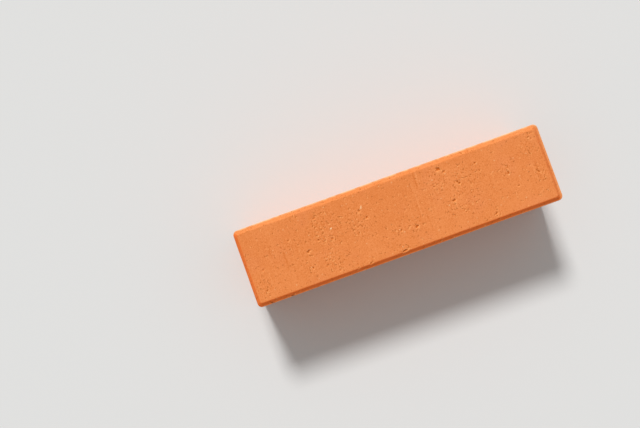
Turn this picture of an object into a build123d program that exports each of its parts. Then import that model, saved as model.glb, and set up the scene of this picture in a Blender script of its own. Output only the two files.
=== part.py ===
from build123d import *
import os

# A bevelled clay paving brick, one solid, standing on its bed face with its wearing face up.
# X runs along its length, Y across its width and Z up. The origin is the middle of the bed face.

# Driving dimensions, in millimetres
length = 200.0
width = 50.0
height = 65.0

# Upright corners, rounded by the die
corner_radius = 3.0

# The pressed edge round the wearing face: a narrow flat land, then the bevel up to the face
land_width = 0.7
bevel_run = 2.1
bevel_drop = 2.0
face_corner_radius = 1.5

# Softened edges: round the wearing face, the outside of the land and the bed face
face_arris = 1.0
land_arris = 0.3
bed_arris = 1.0

# Where the pressed edge starts and how far in it ends, from the sizes above
land_level = height - bevel_drop
face_inset = land_width + bevel_run
foot_corner_radius = corner_radius - land_width

with BuildPart() as brick:
    # The extruded block, up to the land
    with BuildSketch(Plane.XY):
        RectangleRounded(length, width, corner_radius)
    extrude(amount=land_level)

    # The bevelled crown, from the inner edge of the land to the wearing face
    with BuildSketch(Plane.XY.offset(land_level)):
        RectangleRounded(length - 2 * land_width, width - 2 * land_width, foot_corner_radius)
    with BuildSketch(Plane.XY.offset(height)):
        RectangleRounded(length - 2 * face_inset, width - 2 * face_inset, face_corner_radius)
    loft(ruled=True)

    # No edge of fired clay is sharp: the level faces are the bed, the land and the wearing face
    wearing_face = brick.faces().filter_by(Axis.Z).sort_by(Axis.Z)[2]
    fillet(wearing_face.edges(), radius=face_arris)
    land = brick.faces().filter_by(Axis.Z).sort_by(Axis.Z)[1]
    fillet(land.outer_wire().edges(), radius=land_arris)
    bed_face = brick.faces().filter_by(Axis.Z).sort_by(Axis.Z)[0]
    fillet(bed_face.edges(), radius=bed_arris)

brick.part.label = "brick"

os.makedirs("parts", exist_ok=True)
export_step(brick.part, "parts/brick.step")
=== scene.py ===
import math
from itertools import product

import bpy
import numpy as np
from mathutils import Matrix, Vector


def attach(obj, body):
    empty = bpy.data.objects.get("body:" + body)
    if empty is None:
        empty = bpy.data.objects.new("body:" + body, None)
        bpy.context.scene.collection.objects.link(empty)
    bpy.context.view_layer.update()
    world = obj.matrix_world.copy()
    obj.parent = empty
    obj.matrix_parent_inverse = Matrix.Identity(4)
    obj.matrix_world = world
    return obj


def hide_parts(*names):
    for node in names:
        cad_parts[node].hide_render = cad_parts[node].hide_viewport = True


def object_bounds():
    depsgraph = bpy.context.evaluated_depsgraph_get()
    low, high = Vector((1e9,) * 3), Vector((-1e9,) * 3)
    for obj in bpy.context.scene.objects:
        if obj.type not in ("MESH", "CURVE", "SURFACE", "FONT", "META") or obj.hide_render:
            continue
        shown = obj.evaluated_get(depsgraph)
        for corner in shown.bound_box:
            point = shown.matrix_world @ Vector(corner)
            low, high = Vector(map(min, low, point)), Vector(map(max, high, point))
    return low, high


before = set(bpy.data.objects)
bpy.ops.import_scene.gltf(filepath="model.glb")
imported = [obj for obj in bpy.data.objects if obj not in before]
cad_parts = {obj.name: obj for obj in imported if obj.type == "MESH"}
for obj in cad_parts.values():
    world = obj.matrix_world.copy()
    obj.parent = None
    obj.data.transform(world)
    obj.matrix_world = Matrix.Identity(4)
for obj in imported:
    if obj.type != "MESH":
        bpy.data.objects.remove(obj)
cad_low, cad_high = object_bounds()

# Lengths are in millimetres, and MM turns them into metres. FLOOR_HALF_M alone is in metres.
MM = 0.001
LENGTH, WIDTH, HEIGHT = (cad_high - cad_low) / MM
HALF_LENGTH = LENGTH / 2
HALF_WIDTH = WIDTH / 2

# The dense mesh that the relief is cut into, and how widely it is averaged to find what stands out
FINE_VOXEL = 0.3
VOXEL = FINE_VOXEL
BULGE_ROUNDS = 4

# The triangles that are kept: on the sides, ends and bed by the first thinning, and in all
KEPT_ON_SIDES = 105_000
KEPT_TRIANGLES = 190_000

# The CAD solid's pressed edge: the bevel's drop, the land at its foot and the upright corners
BEVEL_DROP = 2.0
LAND_WIDTH = 0.7
CORNER_RADIUS = 3.0
LAND_LEVEL = HEIGHT - BEVEL_DROP

# The photograph shows every mark above this level, so none is placed there by chance
SHOWN_LEVEL = LAND_LEVEL - 0.5

# The relief goes inward from the faces of the CAD solid, by LEAST_DEPTH or more, so the brick stays
# in its box. The faces wander at three sizes, and the wearing face is a little hollow across.
SKIN_DEPTH = 0.10
LEAST_DEPTH = 0.02
WARP_SIZE, WARP_HEIGHT = 75.0, 0.07
SWELL_SIZE, SWELL_HEIGHT = 21.0, 0.05
ROLL_SIZE, ROLL_HEIGHT = 6.0, 0.022
DISH_DEPTH = 0.16

# The arrises waver more than the faces do, as far as this from each of them
EDGE_REACH = 3.5
EDGE_SIZE, EDGE_HEIGHT = 9.0, 0.07

# The wearing face and its bevel were pressed a little off the middle. The shift rises to its full
# size between these levels, and between these distances in from the outline.
PRESSED_OFF = (0.60, 0.20)
PRESSED_LEVELS = (LAND_LEVEL - 0.8, LAND_LEVEL - 0.3)
PRESSED_INSETS = (0.2, LAND_WIDTH + 0.1)

# The outer lip turns pale between these levels, and stops between these distances in. It is wear,
# with painted light making it paler on the -Y side. The bevels at the photograph's left and right
# ends take these shares of painted shade.
LIP_LEVELS = (LAND_LEVEL - 0.9, LAND_LEVEL - 0.3)
LIP_INSETS = (0.3, 0.9)
PAINTED_SHADE_ON_LEFT = 0.75
PAINTED_SHADE_ON_RIGHT = 0.3

# The die leaves fine lines along Y on every face but the two long sides
DIE_LINE_SIZE = (0.9, 46.0, 0.9)
DIE_LINE_HEIGHT = 0.022

# The cutting wire tears short furrows down the two long sides, below the land
FURROW_SIZE, FURROW_HEIGHT = (1.9, 6.0, 22.0), 0.20
FURROW_LEAN = math.radians(7.0)
TEAR_SIZE, TEAR_HEIGHT = (2.4, 6.0, 4.2), 0.40
TEAR_PATCH = 16.0
FURROWS_BELOW = (0.6, 3.0)

# Drag lines wander by this much, and break up in stretches of this size
DRAG_WANDER_SIZE, DRAG_WANDER = 9.0, 0.25
DRAG_BREAK_SIZE = (3.0, 8.0, 3.0)

# Crumbly patches away from the wearing face, and the unevenness of their edges
CRUMBLY_SIZE = 13.0
CRUMBLY_EDGE_SIZE = 6.0

# Pits: how many for each square centimetre, their sizes, and the ring that is raised round them
PITS_ON_SKIN = 0.7
PITS_ON_CUT = 1.2
PIT_RADIUS = (0.26, 1.1)
PIT_STRETCH = (1.0, 2.2)
PIT_DEPTH_SHARE = 0.7
RING_HEIGHT = 0.05

# The rim of a pit is pale on the side that faces this way, away from the lamp: a painted highlight
PAINTED_HIGHLIGHT_SIDE = (-0.4, 0.85, -0.4)
PAINTED_HIGHLIGHT_FADE = 0.6

# Pale grains: how many for each square centimetre, their sizes and how far they stand out
GRAINS = 0.16
GRAIN_RADIUS = (0.25, 0.65)
GRAIN_STRETCH = (1.0, 1.5)
GRAIN_TONE = (0.4, 1.0)
GRAIN_HEIGHT = 0.12

# A pit or grain is a bowl with an uneven rim. Its hollow ends and its ring rises and falls between
# these shares of its radius.
BOWL_UNEVEN_SIZE, BOWL_UNEVEN = 0.9, 0.85
BOWL_HOLLOW = (0.3, 1.15)
BOWL_RING_RISE = (0.5, 1.0)
BOWL_RING_FALL = (1.2, 1.8)

# Chips along the arrises: how many for each edge in ten centimetres, their sizes and how rough
# they are. Round the wearing face they are fewer and smaller.
CHIPS = 2.2
CHIPS_ON_CROWN = 0.5
CHIP_LENGTH = (0.8, 4.2)
CHIP_DEPTH = (0.10, 0.65)
CHIP_LEAN = 0.25
CHIP_ROUGH_SIZE, CHIP_ROUGH = 0.8, 0.12
CHIP_REACH = 7.0

# The seed of each random pattern. The two with a finer pattern on top use the next seed for it.
SEEDS = {
    "warp": 1, "swell": 2, "roll": 3, "edge": 4, "die lines": 5, "furrows": 7, "tears": 9,
    "tear patches": 10, "marks": 20, "chips": 40, "drag wander": 50, "drag breaks": 51,
    "crumbly edges": 60, "crumbly": 61, "crumbly detail": 62, "bowls": 100,
}

# Marks of the brick in the photograph, on its wearing face. Each row is the place from the middle
# (x, y) with the photograph upright, the radius, the stretch, its direction in degrees and the strength.
SEEN_PITS = [
    (-69.2, 8.2, 0.76, 1.0, 0, 0.7),
    (-51.2, 2.2, 0.76, 1.2, 150, 1.0),
    (-59.2, -2.1, 0.88, 1.5, 40, 1.0),
    (-60.0, -12.6, 0.76, 1.3, 120, 1.0),
    (-91.2, -16.3, 0.64, 1.2, 80, 0.8),
    (-83.6, 8.7, 0.64, 1.2, 30, 0.5),
    (-89.4, -3.6, 1.01, 1.2, 30, 0.4),
    (-49.6, 15.9, 0.88, 1.5, 30, 0.5),
    (-43.1, 0.2, 0.88, 1.2, 60, 0.6),
    (-51.3, -14.4, 0.64, 1.6, 45, 0.5),
    (-44.9, -19.6, 0.76, 1.3, 30, 0.6),
    (-21.8, 10.8, 0.64, 2.0, 60, 0.8),
    (-18.7, 5.4, 0.88, 1.2, 20, 0.8),
    (-25.8, 1.5, 0.57, 1.3, 100, 0.6),
    (-16.4, -6.4, 0.57, 1.3, 160, 0.6),
    (-11.4, -10.6, 0.64, 1.2, 0, 0.6),
    (-1.4, -9.5, 0.76, 1.2, 60, 0.8),
    (8.6, -10.3, 0.95, 1.3, 150, 1.0),
    (4.9, 1.6, 0.64, 1.5, 50, 0.5),
    (-3.3, -21.7, 1.01, 1.8, 5, 1.0),
    (-25.7, -22.0, 0.64, 1.4, 20, 1.0),
    (-33.8, -22.2, 0.51, 1.5, 20, 0.7),
    (26.9, 9.1, 0.64, 1.3, 110, 0.8),
    (32.6, 18.5, 1.14, 1.5, 20, 1.0),
    (35.8, 16.0, 0.76, 1.5, 40, 0.8),
    (32.9, -11.8, 0.69, 1.3, 120, 0.6),
    (45.1, 16.5, 0.57, 1.2, 30, 0.7),
    (55.3, 14.4, 0.64, 1.6, 15, 1.0),
    (56.4, 9.3, 0.64, 1.4, 120, 0.9),
    (41.3, 7.3, 0.76, 1.5, 80, 1.0),
    (42.2, 5.9, 0.76, 1.4, 10, 1.0),
    (62.5, 5.4, 0.57, 1.2, 30, 0.7),
    (48.9, 3.6, 0.51, 2.6, 90, 0.7),
    (35.5, -3.0, 1.01, 1.1, 60, 1.0),
    (72.9, 1.8, 0.83, 1.6, 80, 1.0),
    (73.6, 5.5, 0.76, 2.5, 75, 0.6),
    (90.8, -3.6, 0.57, 3.2, 130, 1.0),
    (93.4, -7.1, 0.44, 2.0, 10, 0.7),
    (76.1, -7.8, 0.64, 1.4, 15, 0.9),
    (41.6, -7.7, 0.51, 1.4, 70, 0.7),
    (40.4, -12.1, 0.57, 1.3, 0, 0.8),
    (57.3, -19.3, 0.64, 2.0, 25, 1.0),
    (93.4, 17.1, 0.57, 1.2, 0, 0.7),
    (94.0, 20.3, 0.60, 6.0, 5, 0.4),
]
SEEN_GRAINS = [
    (-41.8, 6.3, 0.75, 1.0, 0, 1.0),
    (-20.1, 12.4, 0.65, 2.4, 50, 0.8),
    (-79.8, 5.7, 0.40, 1.2, 0, 0.6),
    (-60.9, -12.1, 0.40, 1.0, 0, 0.9),
    (-49.3, 2.2, 0.35, 1.0, 0, 0.6),
    (-86.8, -17.3, 0.40, 1.0, 0, 0.5),
    (-27.7, 5.7, 0.40, 1.2, 100, 0.5),
    (-24.1, -9.7, 0.45, 1.2, 0, 0.5),
    (-2.3, -8.6, 0.45, 1.3, 60, 0.8),
    (-4.0, -19.2, 0.45, 1.0, 0, 0.9),
    (20.6, -17.0, 0.60, 1.5, 60, 0.4),
    (26.9, 13.4, 0.45, 1.2, 0, 0.6),
    (31.6, -4.8, 0.45, 1.8, 40, 0.7),
    (43.3, 7.7, 0.35, 1.0, 0, 0.8),
    (64.0, 5.5, 0.40, 1.2, 0, 0.5),
    (73.1, 0.6, 0.40, 1.3, 0, 0.7),
    (84.6, -1.6, 0.40, 1.2, 0, 0.6),
    (35.8, 14.3, 0.40, 1.3, 20, 0.7),
]

# Where the wearing face is crumbly in the photograph: the middle of each patch and its half lengths
SEEN_CRUMBLY = [
    (-92.0, -14.0, 7.0, 8.0),
    (-70.0, 5.0, 10.0, 5.0),
    (-60.0, -13.0, 5.0, 7.0),
    (-44.0, 8.0, 12.0, 14.0),
    (-46.0, -14.0, 8.0, 8.0),
    (-25.0, 3.0, 8.0, 12.0),
    (-28.0, -21.0, 9.0, 2.5),
    (-3.0, -9.0, 5.0, 4.0),
    (-4.0, -21.0, 5.0, 3.5),
    (8.0, -9.0, 5.0, 6.0),
    (30.0, 12.0, 8.0, 10.0),
    (33.0, -8.0, 6.0, 7.0),
    (46.0, 6.0, 12.0, 13.0),
    (43.0, -10.0, 9.0, 5.0),
    (72.0, 3.0, 5.0, 6.0),
    (58.0, -19.0, 6.0, 3.0),
    (90.0, 12.0, 6.0, 8.0),
    (92.0, -5.0, 5.0, 6.0),
]

# Drag lines that the photograph shows across the wearing face: place along it, where each line
# starts and ends across it, its width, and its strength, which is below zero for a dark line
SEEN_LINES = [
    (-82.0, -14.0, 10.0, 0.9, -0.5),
    (-74.2, -12.0, 6.0, 0.9, -0.5),
    (-79.2, -9.0, 14.0, 0.7, 0.4),
    (-20.2, -22.0, 0.0, 0.6, 0.4),
    (-20.2, 6.0, 16.0, 0.6, 0.5),
    (8.2, -14.0, -4.0, 0.6, -0.6),
    (12.7, -8.0, 16.0, 0.5, -0.8),
    (14.0, -8.0, 16.0, 0.6, 0.8),
    (17.0, 10.0, 24.0, 0.5, -0.8),
    (18.5, 10.0, 24.0, 0.6, 0.9),
    (17.0, -20.0, -2.0, 0.6, -0.5),
    (20.4, -22.0, 4.0, 0.6, 0.5),
    (36.4, -8.0, 14.0, 0.7, 0.5),
    (60.8, -10.0, 8.0, 0.7, -0.4),
    (88.6, -12.0, 12.0, 0.7, 0.6),
    (90.6, -10.0, 10.0, 0.6, -0.5),
]

# The colours of the fired clay, linear
CLAY = (0.79, 0.237, 0.062)
CLAY_DEEP = (0.66, 0.165, 0.028)
CLAY_PALE = (0.89, 0.305, 0.098)
CLAY_PINK = (0.81, 0.255, 0.100)
# Painted shade in the pits, dents and pinholes
PIT_SHADE_COLOUR = (0.50, 0.115, 0.004)
GRAIN_COLOUR = (0.90, 0.66, 0.42)
# Worn edges and chips, and painted highlights on pit rims, crescents and the bevel facing the lamp
WEAR_AND_HIGHLIGHT_COLOUR = (0.96, 0.380, 0.125)
LIP_COLOUR = (0.95, 0.530, 0.245)
# Painted shade on the bevels on the +Y side and at the ends, away from the lamp
SHADE_COLOUR = (0.84, 0.110, 0.001)

# The sizes of the clay's patches, streaks and grain, and how each is stretched
PATCH_SIZE = 42.0
PINK_SIZE = 17.0
MOTTLE_SIZE = 6.0
LIP_PATCH_SIZE = 4.0
STREAK_SIZE, STREAK_STRETCH = 1.3, (1.0, 0.03, 1.0)
SCORE_SIZE, SCORE_STRETCH = 1.1, (1.0, 1.0, 0.07)
SAND_SIZE = 0.55
GRIT_SIZE, GRIT_STRETCH = 0.9, (1.25, 0.65, 1.0)

# The colour turns paler towards +Y, from this far on one side of the middle to this far on the other
PALER_REACH = 22.0

# Where each of these is high the clay is paler, and where it is low the clay is deeper. The paler
# tone comes first. Each has the value at which it starts, that at which it is full, and its share.
DRAG_TONES = ((0.0, 0.8, 0.90), (0.0, -0.8, 0.90))
SCORE_TONES = ((0.52, 0.72, 0.40), (0.48, 0.28, 0.45))
GRIT_TONES = ((0.53, 0.70, 0.80), (0.47, 0.30, 0.85))
SAND_TONES = ((0.52, 0.70, 0.80), (0.48, 0.30, 0.80))

# How much of its tone each of the other marks takes on
# Among them are painted shade (bevels away from the lamp, pits, dents, pinholes) and painted highlights
# (crescents, pit rims, the bevel facing the lamp)
SHARES = {
    "patches": 0.40, "towards +Y": 0.30, "pink": 0.30, "mottle": 0.25, "streaks": 0.24,
    "torn": 0.50, "painted light on bevel": 0.12, "painted shade on bevels": 0.62, "painted_highlights": 0.85, "dents": 0.50,
    "pinholes": 0.60, "specks": 0.55, "worn": 0.40, "chipped": 0.35, "pit": 0.75, "rim": 0.65,
    "grain": 0.80,
}

# Dents between the crumbs, commoner where the clay is crumbly, with painted shade in them, and a pale
# crescent beside each, a painted highlight on its side away from the lamp
CRUMB_SIZE = 1.5
EASIER_DENTS = (0.015, 0.058)
PAINTED_HIGHLIGHT_SHIFT = (0.40, -0.54, 0.25)

# Pinholes and specks: how far apart their places are, their radius and the share of places used.
# Their outlines are uneven by SPOT_UNEVEN.
PINHOLES = (2.4, 0.42, 0.12)
SPECKS = (2.8, 0.44, 0.28)
SPOT_UNEVEN_SIZE, SPOT_UNEVEN = 0.8, 0.35

# The finest relief, which only the shading shows, and the gloss
SAND_HEIGHT = 0.04
GRIT_HEIGHT = 0.10
SPECK_HEIGHT = 0.05
PINHOLE_DEPTH = 0.10
DENT_DEPTH = 0.16
ROUGHNESS = (0.78, 0.95)
SPECULAR = 0.15

# The photograph's view, taken to be made with a lens of this focal length
PICTURE = (640, 428)
FOCAL_PX = 1000.0
SENSOR_WIDTH = 36.0
FACE_CENTRE_PX = (398.4, 215.25)
FACE_DISTANCE = 614.6
BRICK_TURN = math.radians(19.75)
LOOK_ALONG = -0.0213
LOOK_ACROSS = -0.0432

# The light: a broad key lamp from the photograph's upper left, and an even fill
KEY_ELEVATION = math.radians(50.0)
KEY_ASIDE = 0.02
KEY_STRENGTH = 0.82 * math.pi
KEY_ANGLE = math.radians(12.0)
FILL = 0.385
FLOOR_COLOUR = (0.74, 0.74, 0.73)
FLOOR_HALF_M = 6.0


def smooth_step(value, low, high):
    """0 below low, 1 above high, and a smooth rise between them."""
    part = np.clip((value - low) / (high - low), 0.0, 1.0)
    return part * part * (3.0 - 2.0 * part)


def noise(points, size, seed):
    """Smooth noise, about -1 to 1. size is that of its features, one number or one for each axis."""
    random = np.random.default_rng(seed)
    order = random.permutation(256)
    slopes = random.normal(size=(256, 3))
    slopes /= np.linalg.norm(slopes, axis=1, keepdims=True)
    scaled = points / np.asarray(size, float) + random.uniform(0, 256, 3)
    cell = np.floor(scaled).astype(int)
    part = scaled - cell
    fade = part ** 3 * (part * (part * 6.0 - 15.0) + 10.0)
    total = np.zeros(len(points))
    for corner in product((0, 1), repeat=3):
        index = (cell + corner) & 255
        key = order[(order[(order[index[:, 0]] + index[:, 1]) & 255] + index[:, 2]) & 255]
        weight = np.prod(np.where(corner, fade, 1.0 - fade), axis=1)
        total += weight * np.einsum("ij,ij->i", part - corner, slopes[key])
    return total * 1.7


def layered_noise(points, size, finer, seed):
    """Noise with a finer one on top, of half its height and with the next seed."""
    return noise(points, size, seed) + 0.5 * noise(points, np.multiply(size, finer), seed + 1)


def points_of(mesh):
    """The mesh's points, in millimetres."""
    found = np.empty(len(mesh.vertices) * 3, np.float32)
    mesh.vertices.foreach_get("co", found)
    return found.reshape(-1, 3).astype(float) / MM


def normals_of(mesh):
    """The way outward at each of the mesh's points."""
    found = np.empty(len(mesh.vertices) * 3, np.float32)
    mesh.vertices.foreach_get("normal", found)
    return found.reshape(-1, 3).astype(float)


def set_points(mesh, points):
    """Moves the mesh's points to these places, in millimetres."""
    mesh.vertices.foreach_set("co", (points * MM).astype(np.float32).ravel())
    mesh.update()


def with_modifier(mesh, kind, free=None, **settings):
    """A new mesh, made by one modifier from this one, or only from its points that free names."""
    holder = bpy.data.objects.new("holder", mesh)
    bpy.context.scene.collection.objects.link(holder)
    modifier = holder.modifiers.new("step", kind)
    if free is not None:
        holder.vertex_groups.new(name="free").add(free.tolist(), 1.0, "REPLACE")
        modifier.vertex_group = "free"
    for name, value in settings.items():
        setattr(modifier, name, value)
    evaluated = holder.evaluated_get(bpy.context.evaluated_depsgraph_get())
    made = bpy.data.meshes.new_from_object(evaluated)
    bpy.data.objects.remove(holder)
    return made


class Surface:
    """The brick's points, kept in the order of their X, so that those near a place are found quickly."""

    def __init__(self, points, normals):
        self.points = points
        self.normals = normals
        self.order = np.argsort(points[:, 0])
        self.sorted_x = points[self.order, 0]

    def near(self, centre, reach):
        """The points in a box round the centre, as their numbers."""
        first, last = np.searchsorted(self.sorted_x, (centre[0] - reach, centre[0] + reach))
        found = self.order[first:last]
        return found[(np.abs(self.points[found, 1:] - centre[1:]) < reach).all(axis=1)]

    def pick(self, random, wanted, count):
        """Points and their normals, picked at random where wanted is high."""
        picked = random.choice(len(self.points), count, replace=False, p=wanted / wanted.sum())
        return zip(self.points[picked], self.normals[picked])

    def bowl(self, centre, normal, radius, stretch, turn, seed):
        """The points of a bowl, how deep each lies in it, from 1 to 0, and how much of its ring it is."""
        near = self.near(centre, radius * stretch * 2.2)
        offset = self.points[near] - centre
        along = across(normal, turn)
        side = np.cross(normal, along)
        rim = radius * (1.0 + BOWL_UNEVEN * noise(self.points[near], radius * BOWL_UNEVEN_SIZE, seed))
        reach = np.hypot(offset @ along / stretch, offset @ side) / np.maximum(rim, 0.05)
        share = 1.0 - smooth_step(reach, *BOWL_HOLLOW)
        ring = smooth_step(reach, *BOWL_RING_RISE) * (1.0 - smooth_step(reach, *BOWL_RING_FALL))
        apart = np.abs(offset @ normal) > radius + 0.6
        share[apart] = 0.0
        ring[apart] = 0.0
        return near, share, ring


def across(normal, degrees=0.0):
    """A direction in the surface, turned by degrees from the brick's length, or from Y on its ends."""
    first = Vector((1, 0, 0)) if abs(normal[0]) < 0.8 else Vector((0, 1, 0))
    up = Vector(normal).normalized()
    first = (first - up * first.dot(up)).normalized()
    return np.array(Matrix.Rotation(math.radians(degrees), 3, up) @ first)


def from_photograph(x, y):
    """A place on the wearing face before it is pressed off. The photograph shows the -Y side up."""
    return np.array([-x - PRESSED_OFF[0], -y - PRESSED_OFF[1], HEIGHT])


def edge_distance(points):
    """How far each point is from the nearest edge of the brick's box."""
    gaps = np.stack([
        HALF_LENGTH - np.abs(points[:, 0]),
        HALF_WIDTH - np.abs(points[:, 1]),
        np.minimum(points[:, 2], HEIGHT - points[:, 2]),
    ], axis=1)
    return np.sort(gaps, axis=1)[:, 1]


def shape_faces(points, normals, on_cut):
    """How far each point goes inward for the warp and the marks of making, and how torn it is."""
    depth = np.full(len(points), SKIN_DEPTH)
    depth += WARP_HEIGHT * noise(points, WARP_SIZE, SEEDS["warp"])
    depth += SWELL_HEIGHT * noise(points, SWELL_SIZE, SEEDS["swell"])
    depth += ROLL_HEIGHT * noise(points, ROLL_SIZE, SEEDS["roll"])
    hollow = np.clip(1.0 - (points[:, 1] / HALF_WIDTH) ** 2, 0.0, 1.0)
    depth += DISH_DEPTH * hollow * smooth_step(normals[:, 2], 0.8, 1.0)
    near_edge = 1.0 - smooth_step(edge_distance(points), 0.5, EDGE_REACH)
    depth += EDGE_HEIGHT * near_edge * noise(points, EDGE_SIZE, SEEDS["edge"])
    lines = layered_noise(points, DIE_LINE_SIZE, 0.45, SEEDS["die lines"])
    depth += DIE_LINE_HEIGHT * lines * (1.0 - on_cut)

    leaning = points.copy()
    leaning[:, 0] += points[:, 2] * math.tan(FURROW_LEAN)
    furrows = layered_noise(leaning, FURROW_SIZE, 0.55, SEEDS["furrows"])
    tears = smooth_step(noise(leaning, TEAR_SIZE, SEEDS["tears"]), 0.15, 0.7)
    tears *= smooth_step(noise(points, TEAR_PATCH, SEEDS["tear patches"]), -0.35, 0.35)
    below = on_cut * smooth_step(LAND_LEVEL - points[:, 2], *FURROWS_BELOW)
    depth += (FURROW_HEIGHT * np.maximum(furrows + 0.25, 0.0) + TEAR_HEIGHT * tears) * below
    torn = np.clip(tears + 0.35 * furrows, 0.0, 1.0) * below
    return np.maximum(depth, LEAST_DEPTH), torn


def inset_of(points):
    """How far each point is inside the brick's rounded outline, seen from above."""
    beyond = np.abs(points[:, :2]) - (HALF_LENGTH - CORNER_RADIUS, HALF_WIDTH - CORNER_RADIUS)
    rounded = np.linalg.norm(np.maximum(beyond, 0.0), axis=1)
    return CORNER_RADIUS - rounded - np.minimum(beyond.max(axis=1), 0.0)


def press_crown(points):
    """How far the face and its bevel lie off the middle of the brick, for each point."""
    above = smooth_step(points[:, 2], *PRESSED_LEVELS)
    share = smooth_step(inset_of(points), *PRESSED_INSETS) * above
    return share[:, None] * np.array([*PRESSED_OFF, 0.0])


def crown_tones(points, normals):
    """How much of the pale outer lip each point is (wear, paler on the -Y side by painted light), how much
    painted shade the bevels on the +Y side and ends take, and how much painted light the -Y bevel takes.
    """
    above = smooth_step(points[:, 2], *LIP_LEVELS)
    lip_wear_and_painted_light = above * (1.0 - smooth_step(inset_of(points), *LIP_INSETS))
    # Painted light: the lip is paler on the -Y side, towards the lamp
    lip_wear_and_painted_light *= 0.3 + 0.7 * smooth_step(-points[:, 1], HALF_WIDTH - 3.5, HALF_WIDTH - 1.0)
    sloping = above * smooth_step(normals[:, 2], 0.25, 0.5)
    sloping = sloping * (1.0 - smooth_step(normals[:, 2], 0.93, 0.995))
    # Painted shade on the bevels on the +Y side, away from the lamp, and at the ends
    deeper = smooth_step(normals[:, 1], 0.05, 0.45)
    deeper += PAINTED_SHADE_ON_RIGHT * smooth_step(-normals[:, 0], 0.3, 0.6)
    deeper += PAINTED_SHADE_ON_LEFT * smooth_step(normals[:, 0], 0.2, 0.5)
    # Painted light on the bevel on the -Y side, which faces the lamp
    paler = smooth_step(-normals[:, 1], 0.3, 0.6)
    return lip_wear_and_painted_light, sloping * np.minimum(deeper, 1.0), sloping * paler


def drag_lines(points, normals):
    """The drag lines of the wearing face, above zero where pale and below where dark."""
    total = np.zeros(len(points))
    wander = DRAG_WANDER * noise(points, DRAG_WANDER_SIZE, SEEDS["drag wander"])
    for x, start, end, width, strength in SEEN_LINES:
        middle = from_photograph(x, (start + end) / 2)
        aside = points[:, 0] - middle[0] - wander
        beyond = np.abs(points[:, 1] - middle[1]) - (end - start) / 2
        total += strength * np.exp(-(aside / width) ** 2) * (1.0 - smooth_step(beyond, -4.0, 1.0))
    uneven = smooth_step(noise(points, DRAG_BREAK_SIZE, SEEDS["drag breaks"]), -0.7, 0.3)
    return total * uneven * smooth_step(normals[:, 2], 0.9, 0.98)


def crumbly_patches(points, normals):
    """How crumbly each point is: as seen on the wearing face, and by chance elsewhere."""
    on_face = smooth_step(normals[:, 2], 0.8, 0.95)
    seen = np.zeros(len(points))
    for x, y, half_x, half_y in SEEN_CRUMBLY:
        offset = (points[:, :2] - from_photograph(x, y)[:2]) / (half_x, half_y)
        seen = np.maximum(seen, 1.0 - smooth_step(np.linalg.norm(offset, axis=1), 0.4, 1.3))
    edges = noise(points, CRUMBLY_EDGE_SIZE, SEEDS["crumbly edges"])
    seen = np.clip(seen + 0.35 * edges, 0.0, 1.0)
    patches = noise(points, CRUMBLY_SIZE, SEEDS["crumbly"])
    patches += 0.4 * noise(points, CRUMBLY_EDGE_SIZE, SEEDS["crumbly detail"])
    elsewhere = smooth_step(patches, -0.2, 0.5)
    return seen * on_face + elsewhere * (1.0 - on_face)


def seen_marks():
    """The pits and grains of the photograph: kind, place, normal, radius, stretch, turn and tone."""
    for kind, rows in (("pit", SEEN_PITS), ("grain", SEEN_GRAINS)):
        for x, y, radius, stretch, turn, tone in rows:
            yield kind, from_photograph(x, y), (0, 0, 1), radius, stretch, turn, tone


def chance_marks(surface, on_cut):
    """Random pits and grains where the photograph shows nothing, in the same form."""
    random = np.random.default_rng(SEEDS["marks"])
    unseen = np.where(surface.points[:, 2] > SHOWN_LEVEL, 0.0, 1.0)
    area = (LENGTH * WIDTH * 2 + LENGTH * HEIGHT * 2 + WIDTH * HEIGHT * 2) / 100.0
    cut_area = LENGTH * HEIGHT * 2 / 100.0
    on_skin = ((1 - on_cut) * unseen, PITS_ON_SKIN * (area - cut_area))
    on_sides = (on_cut, PITS_ON_CUT * cut_area)
    for wanted, count in (on_skin, on_sides):
        for centre, normal in surface.pick(random, wanted, int(count)):
            # Small pits are much commoner than large ones
            radius = PIT_RADIUS[0] + (PIT_RADIUS[1] - PIT_RADIUS[0]) * random.random() ** 4
            stretch, turn = random.uniform(*PIT_STRETCH), random.uniform(0, 180)
            yield "pit", centre, normal, radius, stretch, turn, 1.0
    for centre, normal in surface.pick(random, unseen, int(GRAINS * area)):
        radius = random.uniform(*GRAIN_RADIUS)
        stretch, turn = random.uniform(*GRAIN_STRETCH), random.uniform(0, 180)
        yield "grain", centre, normal, radius, stretch, turn, random.uniform(*GRAIN_TONE)


def cut_marks(surface, on_cut):
    """Pits and grains: how far each point goes inward, and how much of a pit, rim or grain it is. Pits
    take painted shade and rims a painted highlight.
    """
    points = surface.points
    inward, pit, rim, grain = np.zeros((4, len(points)))
    marks = [*seen_marks(), *chance_marks(surface, on_cut)]
    for seed, (kind, centre, normal, radius, stretch, turn, tone) in enumerate(marks, SEEDS["bowls"]):
        near, share, ring = surface.bowl(centre, np.array(normal, float), radius, stretch, turn, seed)
        if kind == "grain":
            inward[near] -= GRAIN_HEIGHT * share
            grain[near] = np.maximum(grain[near], tone * share)
            continue
        inward[near] = np.maximum(inward[near], tone * radius * PIT_DEPTH_SHARE * share)
        inward[near] -= tone * RING_HEIGHT * ring
        pit[near] = np.maximum(pit[near], tone * share)
        # A painted highlight on the part of the ring away from the lamp
        highlight_share = smooth_step((points[near] - centre) @ np.array(PAINTED_HIGHLIGHT_SIDE), 0.0, PAINTED_HIGHLIGHT_FADE)
        rim[near] = np.maximum(rim[near], ring * highlight_share * min(1.0, 1.3 * tone))
    return inward, pit, rim, grain


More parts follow.
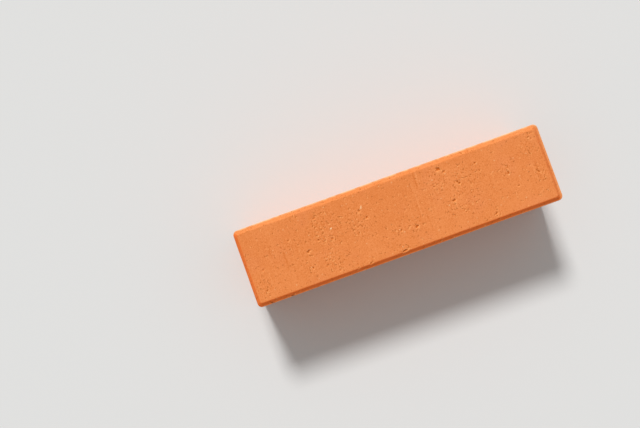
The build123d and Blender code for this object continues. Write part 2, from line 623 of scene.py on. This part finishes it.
def arrises():
    """The middle, direction, length and way outward of each of the twelve edges of the brick's box."""
    middle = HEIGHT / 2
    along_x, along_y, along_z = np.eye(3)
    for s, t in product((-1, 1), repeat=2):
        level = middle * (1 + t)
        yield np.array([0, s * HALF_WIDTH, level]), along_x, LENGTH, np.array([0, s, t])
        yield np.array([s * HALF_LENGTH, 0, level]), along_y, WIDTH, np.array([s, 0, t])
        corner = np.array([s * HALF_LENGTH, t * HALF_WIDTH, middle])
        yield corner, along_z, HEIGHT, np.array([s, t, 0])


def chip_edges(surface, points):
    """Small chips knocked off the arrises: the moved points and how much of a chip each one is."""
    random = np.random.default_rng(SEEDS["chips"])
    chipped = np.zeros(len(points))
    moved = points.copy()
    for middle, along, span, outward in arrises():
        scale = CHIPS_ON_CROWN if outward[2] > 0 else 1.0
        for _ in range(random.poisson(CHIPS * scale * span / 100.0)):
            centre = middle + along * random.uniform(-0.48, 0.48) * span
            # Small chips are much commoner than large ones
            large = random.random() ** 3
            half = CHIP_LENGTH[0] + (CHIP_LENGTH[1] - CHIP_LENGTH[0]) * large
            spread = CHIP_DEPTH[1] - CHIP_DEPTH[0]
            depth = CHIP_DEPTH[0] + spread * large * random.uniform(0.6, 1.0) * scale
            direction = outward / math.sqrt(2.0) + random.normal(0, CHIP_LEAN, 3)
            direction /= np.linalg.norm(direction)
            near = surface.near(centre, CHIP_REACH)
            offset = moved[near] - centre
            reach = np.abs(offset @ along) / half
            outermost = (offset @ direction).max() if len(near) else 0.0
            rough = CHIP_ROUGH * noise(moved[near], CHIP_ROUGH_SIZE, random.integers(1, 9999))
            limit = outermost - depth * (1.0 - reach ** 2 - rough)
            beyond = np.maximum(offset @ direction - limit, 0.0) * (reach < 1.0)
            moved[near] -= beyond[:, None] * direction
            chipped[near] = np.maximum(chipped[near], smooth_step(beyond, 0.02, 0.15))
    return moved, chipped


def bulge_of(mesh, points, normals, rounds):
    """How far each point stands out of the surface averaged round it, in millimetres."""
    pairs = np.empty(len(mesh.edges) * 2, np.int32)
    mesh.edges.foreach_get("vertices", pairs)
    a, b = pairs.reshape(-1, 2).T
    size = len(points)
    count = np.bincount(a, minlength=size) + np.bincount(b, minlength=size) + 1.0
    mean = points.copy()
    for _ in range(rounds):
        total = mean.copy()
        for axis in range(3):
            total[:, axis] += np.bincount(a, mean[b, axis], size) + np.bincount(b, mean[a, axis], size)
        mean = total / count[:, None]
    return np.einsum("ij,ij->i", points - mean, normals)


def store(mesh, name, values):
    """Keeps a number for each point, which the material reads by this name."""
    layer = mesh.attributes.new(name, "FLOAT", "POINT")
    layer.data.foreach_set("value", values.astype(np.float32))


def lay_out_map(mesh):
    """The brick's six sides laid flat beside each other, as the map that its colours are drawn on."""
    gap = 3.0
    side = max(LENGTH + gap + WIDTH, 2 * WIDTH + 2 * HEIGHT + 3 * gap) + 2 * gap
    loops = np.empty(len(mesh.loops), np.int32)
    mesh.loops.foreach_get("vertex_index", loops)
    points = points_of(mesh)[loops]
    face_normals = np.empty(len(mesh.polygons) * 3, np.float32)
    mesh.polygons.foreach_get("normal", face_normals)
    face_normals = face_normals.reshape(-1, 3)
    middles = np.empty(len(mesh.polygons) * 3, np.float32)
    mesh.polygons.foreach_get("center", middles)
    middles = middles.reshape(-1, 3) / MM
    totals = np.empty(len(mesh.polygons), np.int32)
    mesh.polygons.foreach_get("loop_total", totals)
    depth = np.stack([
        HALF_WIDTH + middles[:, 1], HALF_WIDTH - middles[:, 1],
        HALF_LENGTH + middles[:, 0], HALF_LENGTH - middles[:, 0],
        middles[:, 2], HEIGHT - middles[:, 2],
    ], axis=1)
    facing = np.stack([
        -face_normals[:, 1], face_normals[:, 1],
        -face_normals[:, 0], face_normals[:, 0],
        -face_normals[:, 2], face_normals[:, 2],
    ], axis=1)
    # Each face goes to the side that it looks along and lies nearest to
    chart = np.repeat(np.argmax(facing - 0.25 * depth, axis=1), totals)
    x, y, z = points[:, 0] + HALF_LENGTH, points[:, 1] + HALF_WIDTH, points[:, 2]
    rows = np.cumsum([gap, WIDTH + gap, WIDTH + gap, HEIGHT + gap])
    column = gap + LENGTH + gap
    u = np.select([chart < 2, chart == 2, chart == 3, chart > 3], [x, y, y, x])
    v = np.where(chart < 4, z, y)
    left = np.array([gap, gap, column, column, gap, gap])[chart]
    low = np.array([rows[2], rows[3], rows[2], rows[3], rows[0], rows[1]])[chart]
    layer = mesh.uv_layers.new(name="OFBake", do_init=False)
    places = np.stack([left + u, low + v], axis=1) / side
    layer.uv.foreach_set("vector", places.astype(np.float32).ravel())


def thinned(dense, points):
    """Fewer triangles. The sides lose theirs first, so that the small marks on top stay sharp."""
    triangles = 2 * len(dense.polygons)
    on_top = points[:, 2] > SHOWN_LEVEL
    kept = KEPT_ON_SIDES + triangles * on_top.mean()
    sides = np.flatnonzero(~on_top)
    part = with_modifier(dense, "DECIMATE", free=sides, ratio=min(1.0, kept / triangles))
    triangles = sum(len(polygon.vertices) - 2 for polygon in part.polygons)
    return with_modifier(part, "DECIMATE", ratio=min(1.0, KEPT_TRIANGLES / triangles))


def make_brick():
    """The brick with its relief, as one mesh that stands for the CAD solid."""
    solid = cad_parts["brick"].data.copy()
    dense = with_modifier(solid, "REMESH", mode="VOXEL", voxel_size=VOXEL * MM)
    points = points_of(dense)
    normals = normals_of(dense)
    surface = Surface(points, normals)
    on_cut = smooth_step(np.abs(normals[:, 1]), 0.75, 0.97)
    depth, torn = shape_faces(points, normals, on_cut)
    lip_wear_and_painted_light, shaded, paler = crown_tones(points, normals)
    moved = points - normals * depth[:, None] + press_crown(points)
    moved, chipped = chip_edges(surface, moved)
    inward, pit, rim, grain = cut_marks(surface, on_cut)
    moved -= normals * inward[:, None]
    low = np.array(cad_low) / MM
    high = np.array(cad_high) / MM
    set_points(dense, np.clip(moved, low, high))
    rounds = int(BULGE_ROUNDS * (FINE_VOXEL / VOXEL) ** 2) + 1
    tones = {
        "pit": pit, "rim": rim, "grain": grain, "chipped": chipped, "on_cut": on_cut,
        "torn": torn, "lip_wear_and_painted_light": lip_wear_and_painted_light, "shaded": shaded, "paler": paler,
        "bulge": bulge_of(dense, moved, normals_of(dense), rounds),
        "drag": drag_lines(points, normals),
        "crumbly": crumbly_patches(points, normals),
    }
    for name, values in tones.items():
        store(dense, name, values)
    mesh = thinned(dense, moved)
    # Thinning can push a point out of the box a little
    set_points(mesh, np.clip(points_of(mesh), low, high))
    mesh.name = "clay_body"
    mesh.shade_smooth()
    lay_out_map(mesh)
    brick = bpy.data.objects.new("clay_body", mesh)
    bpy.context.scene.collection.objects.link(brick)
    return brick


class Nodes:
    """Short names for the nodes of one material."""

    def __init__(self, name):
        self.material = bpy.data.materials.new(name)
        self.material.use_nodes = True
        self.tree = self.material.node_tree
        self.shader = self.tree.nodes["Principled BSDF"]

    def add(self, kind, inputs, **settings):
        """A node with these settings, its inputs linked to sockets or set to plain values."""
        made = self.tree.nodes.new(kind)
        for name, value in settings.items():
            setattr(made, name, value)
        for key, value in inputs.items():
            if isinstance(value, bpy.types.NodeSocket):
                self.tree.links.new(value, made.inputs[key])
            else:
                made.inputs[key].default_value = value
        return made

    def places(self, scale=(1, 1, 1), shift=(0, 0, 0)):
        """The place on the brick in metres, stretched by scale and moved by shift."""
        texture = self.add("ShaderNodeTexCoord", {})
        inputs = {"Vector": texture.outputs["Object"], "Scale": scale, "Location": shift}
        return self.add("ShaderNodeMapping", inputs).outputs[0]

    def noise(self, size_mm, detail=2.0, rough=0.5, stretch=(1, 1, 1), shift=(0, 0, 0)):
        """Noise from about 0 to 1, with features of this size."""
        place = self.places(stretch, shift)
        inputs = {"Vector": place, "Scale": 1 / (size_mm * MM), "Detail": detail, "Roughness": rough}
        return self.add("ShaderNodeTexNoise", inputs).outputs["Fac"]

    def spots(self, apart_mm, radius_mm, share):
        """Uneven spots, 1 at their middles: how far apart their places are, and the share that is used."""
        inputs = {"Vector": self.places(), "Scale": 1 / (SPOT_UNEVEN_SIZE * MM), "Detail": 1.0}
        wander = self.add("ShaderNodeTexNoise", inputs)
        size = (2 * SPOT_UNEVEN * MM,) * 3
        inputs = {0: wander.outputs["Color"], 1: size, 2: self.places()}
        place = self.add("ShaderNodeVectorMath", inputs, operation="MULTIPLY_ADD").outputs[0]
        made = self.add("ShaderNodeTexVoronoi", {"Vector": place, "Scale": 1 / (apart_mm * MM)})
        chance = self.add("ShaderNodeSeparateColor", {0: made.outputs["Color"]}).outputs
        reach = self.math("DIVIDE", made.outputs["Distance"], self.math("ADD", chance[1], 0.5))
        near = self.rise(reach, radius_mm / apart_mm, 0.3 * radius_mm / apart_mm)
        return self.math("MULTIPLY", near, self.math("LESS_THAN", chance[0], share))

    def attribute(self, name):
        """The number that the mesh keeps for each point by this name."""
        return self.add("ShaderNodeAttribute", {}, attribute_name=name).outputs["Fac"]

    def math(self, operation, a, b):
        """One sum, product or other operation on two numbers."""
        return self.add("ShaderNodeMath", {0: a, 1: b}, operation=operation).outputs[0]

    def rise(self, value, low, high, to_low=0.0, to_high=1.0):
        """to_low where value is low, to_high where it is high, and a smooth rise between them."""
        inputs = {"Value": value, "From Min": low, "From Max": high, "To Min": to_low, "To Max": to_high}
        return self.add("ShaderNodeMapRange", inputs, interpolation_type="SMOOTHSTEP").outputs["Result"]

    def mix(self, share, a, b):
        """Colours a and b, mixed by share."""
        made = self.add("ShaderNodeMix", {}, data_type="RGBA")
        for socket, value in zip((made.inputs[0], made.inputs[6], made.inputs[7]), (share, a, b)):
            if isinstance(value, bpy.types.NodeSocket):
                self.tree.links.new(value, socket)
            else:
                socket.default_value = (*value, 1.0)
        return made.outputs[2]

    def tint(self, colour, tone, mark, share):
        """The colour, taking on this share of the tone where the mark is strongest."""
        return self.mix(self.math("MULTIPLY", mark, share), colour, tone)

    def grainy(self, colour, value, tones, where=None):
        """The colour, paler where value is high and deeper where it is low, by rows such as SAND_TONES."""
        for (start, full, share), tone in zip(tones, (CLAY_PALE, CLAY_DEEP)):
            amount = self.rise(value, start, full, 0.0, share)
            if where is not None:
                amount = self.math("MULTIPLY", amount, where)
            colour = self.mix(amount, colour, tone)
        return colour


def clay_patches(n):
    """The base colour, in large soft patches, and paler towards +Y."""
    patches = n.rise(n.noise(PATCH_SIZE), 0.35, 0.65)
    colour = n.tint(CLAY, CLAY_PALE, patches, SHARES["patches"])
    along_y = n.add("ShaderNodeSeparateXYZ", {0: n.places()}).outputs[1]
    towards_y = n.rise(along_y, -PALER_REACH * MM, PALER_REACH * MM, 0.0, SHARES["towards +Y"])
    colour = n.mix(towards_y, colour, CLAY_PALE)
    pink = n.rise(n.noise(PINK_SIZE), 0.50, 0.75)
    colour = n.tint(colour, CLAY_PINK, pink, SHARES["pink"])
    mottle = n.rise(n.noise(MOTTLE_SIZE, 3.0, 0.6), 0.35, 0.75)
    return n.tint(colour, CLAY_DEEP, mottle, SHARES["mottle"])


def marks_of_making_and_painted_light(n, colour):
    """The colour with the die's streaks, drag lines, torn and scored sides, and painted light on the bevel
    that faces the lamp.
    """
    on_cut = n.attribute("on_cut")
    streaks = n.rise(n.noise(STREAK_SIZE, stretch=STREAK_STRETCH), 0.40, 0.80)
    streaks = n.math("MULTIPLY", streaks, n.math("SUBTRACT", 1.0, on_cut))
    colour = n.tint(colour, CLAY_PALE, streaks, SHARES["streaks"])
    colour = n.grainy(colour, n.attribute("drag"), DRAG_TONES)
    # The tears are deeper in tone: partly the torn clay's own, partly painted shade in their hollows
    colour = n.tint(colour, CLAY_DEEP, n.attribute("torn"), SHARES["torn"])
    scores = n.noise(SCORE_SIZE, 3.0, 0.6, stretch=SCORE_STRETCH)
    colour = n.grainy(colour, scores, SCORE_TONES, on_cut)
    # Painted light on the bevel that faces the lamp
    return n.tint(colour, WEAR_AND_HIGHLIGHT_COLOUR, n.attribute("paler"), SHARES["painted light on bevel"])


def crumbs(n, crumbly):
    """Dents between the crumbs, and the pale crescents beside them, which are painted highlights."""
    easier = n.rise(crumbly, 0.0, 1.0, *EASIER_DENTS)
    dents = n.noise(CRUMB_SIZE, 2.0, 0.55)
    dents = n.rise(n.math("ADD", dents, easier), 0.67, 0.72)
    beside = [part * MM for part in PAINTED_HIGHLIGHT_SHIFT]
    painted_highlights = n.noise(CRUMB_SIZE, 2.0, 0.55, shift=beside)
    painted_highlights = n.rise(n.math("ADD", painted_highlights, easier), 0.68, 0.74)
    return dents, n.math("MULTIPLY", painted_highlights, n.math("SUBTRACT", 1.0, dents))


def worn_and_pitted(n, colour):
    """The colour with worn edges, the pale lip (wear, with painted light on the -Y side), chips, painted
    shade in the pits with painted highlights on their rims, and pale grains.
    """
    worn = n.rise(n.attribute("bulge"), 0.03, 0.14)
    colour = n.tint(colour, WEAR_AND_HIGHLIGHT_COLOUR, worn, SHARES["worn"])
    # The lip is wear, with painted light making it stronger on the -Y side
    uneven = n.rise(n.noise(LIP_PATCH_SIZE, 3.0), 0.36, 0.60, 0.4, 1.0)
    colour = n.tint(colour, LIP_COLOUR, n.attribute("lip_wear_and_painted_light"), uneven)
    colour = n.tint(colour, WEAR_AND_HIGHLIGHT_COLOUR, n.attribute("chipped"), SHARES["chipped"])
    # Painted shade in the pits, and a painted highlight on their rims
    colour = n.mix(n.rise(n.attribute("pit"), 0.15, 0.8, 0.0, SHARES["pit"]), colour, PIT_SHADE_COLOUR)
    colour = n.tint(colour, WEAR_AND_HIGHLIGHT_COLOUR, n.attribute("rim"), SHARES["rim"])
    grain = n.attribute("grain")
    colour = n.mix(n.rise(grain, 0.1, 0.6, 0.0, SHARES["grain"]), colour, LIP_COLOUR)
    return n.mix(n.rise(grain, 0.6, 1.0, 0.0, SHARES["grain"]), colour, GRAIN_COLOUR)


def fired_clay():
    """Matt orange clay with soft patches, sandy grain, drag lines, dents and pale grains, with painted
    shade in the pits, dents and bevels away from the lamp, and painted highlights beside the pits and
    dents and on the bevel facing it.
    """
    n = Nodes("fired_clay")
    crumbly = n.attribute("crumbly")
    sandy = n.rise(crumbly, 0.0, 1.0, 0.35, 1.0)
    sand = n.noise(SAND_SIZE, 2.0, 0.6)
    grit = n.noise(GRIT_SIZE, 1.0, stretch=GRIT_STRETCH)
    dents, painted_highlights = crumbs(n, crumbly)
    pinholes = n.spots(*PINHOLES)
    specks = n.spots(*SPECKS)

    colour = marks_of_making_and_painted_light(n, clay_patches(n))
    colour = n.grainy(colour, grit, GRIT_TONES, sandy)
    colour = n.grainy(colour, sand, SAND_TONES)
    # Painted shade on the bevels, painted highlights beside the dents, and painted shade in the dents and
    # pinholes
    colour = n.tint(colour, SHADE_COLOUR, n.attribute("shaded"), SHARES["painted shade on bevels"])
    colour = n.tint(colour, WEAR_AND_HIGHLIGHT_COLOUR, painted_highlights, SHARES["painted_highlights"])
    colour = n.tint(colour, PIT_SHADE_COLOUR, dents, SHARES["dents"])
    colour = n.tint(colour, PIT_SHADE_COLOUR, pinholes, SHARES["pinholes"])
    colour = n.tint(colour, LIP_COLOUR, specks, SHARES["specks"])
    colour = worn_and_pitted(n, colour)
    n.tree.links.new(colour, n.shader.inputs["Base Color"])

    rough = n.rise(sand, 0.3, 0.7, *ROUGHNESS)
    n.tree.links.new(rough, n.shader.inputs["Roughness"])
    n.shader.inputs["Specular IOR Level"].default_value = SPECULAR

    gritty = n.math("MULTIPLY", grit, sandy)
    height = n.math("ADD", n.math("MULTIPLY", sand, SAND_HEIGHT), n.math("MULTIPLY", gritty, GRIT_HEIGHT))
    height = n.math("SUBTRACT", height, n.math("MULTIPLY", pinholes, PINHOLE_DEPTH))
    height = n.math("SUBTRACT", height, n.math("MULTIPLY", dents, DENT_DEPTH))
    height = n.math("ADD", height, n.math("MULTIPLY", specks, SPECK_HEIGHT))
    bump = n.add("ShaderNodeBump", {"Height": height, "Distance": MM, "Strength": 1.0})
    n.tree.links.new(bump.outputs["Normal"], n.shader.inputs["Normal"])
    return n.material


def make_floor():
    """A plain pale floor, large enough to reach the horizon of the low views."""
    half = FLOOR_HALF_M
    corners = [(-half, -half, 0), (half, -half, 0), (half, half, 0), (-half, half, 0)]
    mesh = bpy.data.meshes.new("floor")
    mesh.from_pydata(corners, [], [(0, 1, 2, 3)])
    floor = bpy.data.objects.new("floor", mesh)
    bpy.context.scene.collection.objects.link(floor)
    n = Nodes("floor")
    n.shader.inputs["Base Color"].default_value = (*FLOOR_COLOUR, 1.0)
    n.shader.inputs["Roughness"].default_value = 1.0
    n.shader.inputs["Specular IOR Level"].default_value = 0.0
    mesh.materials.append(n.material)


def light_key():
    """The key lamp shines from the brick's -Y side, the photograph's upper left."""
    lamp = bpy.data.lights.new("key", "SUN")
    lamp.energy = KEY_STRENGTH
    lamp.angle = KEY_ANGLE
    key = bpy.data.objects.new("key", lamp)
    bpy.context.scene.collection.objects.link(key)
    towards = Vector((KEY_ASIDE, -math.cos(KEY_ELEVATION), math.sin(KEY_ELEVATION)))
    key.rotation_mode = "QUATERNION"
    key.rotation_quaternion = towards.to_track_quat("Z", "Y")
    key.location = towards


def make_studio():
    """An even fill light. The camera, gloss and glass see a backdrop as pale as the floor instead."""
    world = bpy.data.worlds.new("studio")
    bpy.context.scene.world = world
    world.use_nodes = True
    tree = world.node_tree
    fill = tree.nodes["Background"]
    fill.inputs["Color"].default_value = (1, 1, 1, 1)
    fill.inputs["Strength"].default_value = FILL
    backdrop = tree.nodes.new("ShaderNodeBackground")
    backdrop.inputs["Color"].default_value = (*FLOOR_COLOUR, 1)
    path = tree.nodes.new("ShaderNodeLightPath")
    seen = path.outputs["Is Camera Ray"]
    for name in ("Is Glossy Ray", "Is Transmission Ray"):
        either = tree.nodes.new("ShaderNodeMath")
        either.operation = "MAXIMUM"
        tree.links.new(seen, either.inputs[0])
        tree.links.new(path.outputs[name], either.inputs[1])
        seen = either.outputs[0]
    mix = tree.nodes.new("ShaderNodeMixShader")
    tree.links.new(seen, mix.inputs[0])
    tree.links.new(fill.outputs[0], mix.inputs[1])
    tree.links.new(backdrop.outputs[0], mix.inputs[2])
    tree.links.new(mix.outputs[0], tree.nodes["World Output"].inputs["Surface"])


def place_camera():
    """The photograph's view: almost straight down, with the brick's -Y side up and turned to the left."""
    lens = bpy.data.cameras.new("camera")
    lens.sensor_width = SENSOR_WIDTH
    lens.lens = FOCAL_PX / PICTURE[0] * SENSOR_WIDTH
    lens.clip_start = 0.01
    camera = bpy.data.objects.new("camera", lens)
    bpy.context.scene.collection.objects.link(camera)
    look = Vector((LOOK_ALONG, LOOK_ACROSS, 0.0))
    look.z = -math.sqrt(1.0 - look.length_squared)
    right = Vector((-math.cos(BRICK_TURN), math.sin(BRICK_TURN), 0.0))
    right = (right - look * right.dot(look)).normalized()
    down = look.cross(right)
    offset = (FACE_CENTRE_PX[0] - PICTURE[0] / 2, FACE_CENTRE_PX[1] - PICTURE[1] / 2)
    distance = FACE_DISTANCE * MM
    target = Vector((0, 0, HEIGHT * MM))
    place = target - distance * (look + right * offset[0] / FOCAL_PX + down * offset[1] / FOCAL_PX)
    turn = Matrix((right, -down, -look)).transposed()
    camera.matrix_world = Matrix.Translation(place) @ turn.to_4x4()
    bpy.context.scene.camera = camera


brick = make_brick()
brick.data.materials.clear()
brick.data.materials.append(fired_clay())
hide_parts("brick")
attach(brick, "root")

make_floor()
light_key()
make_studio()
place_camera()
bpy.context.scene.view_settings.view_transform = "Standard"
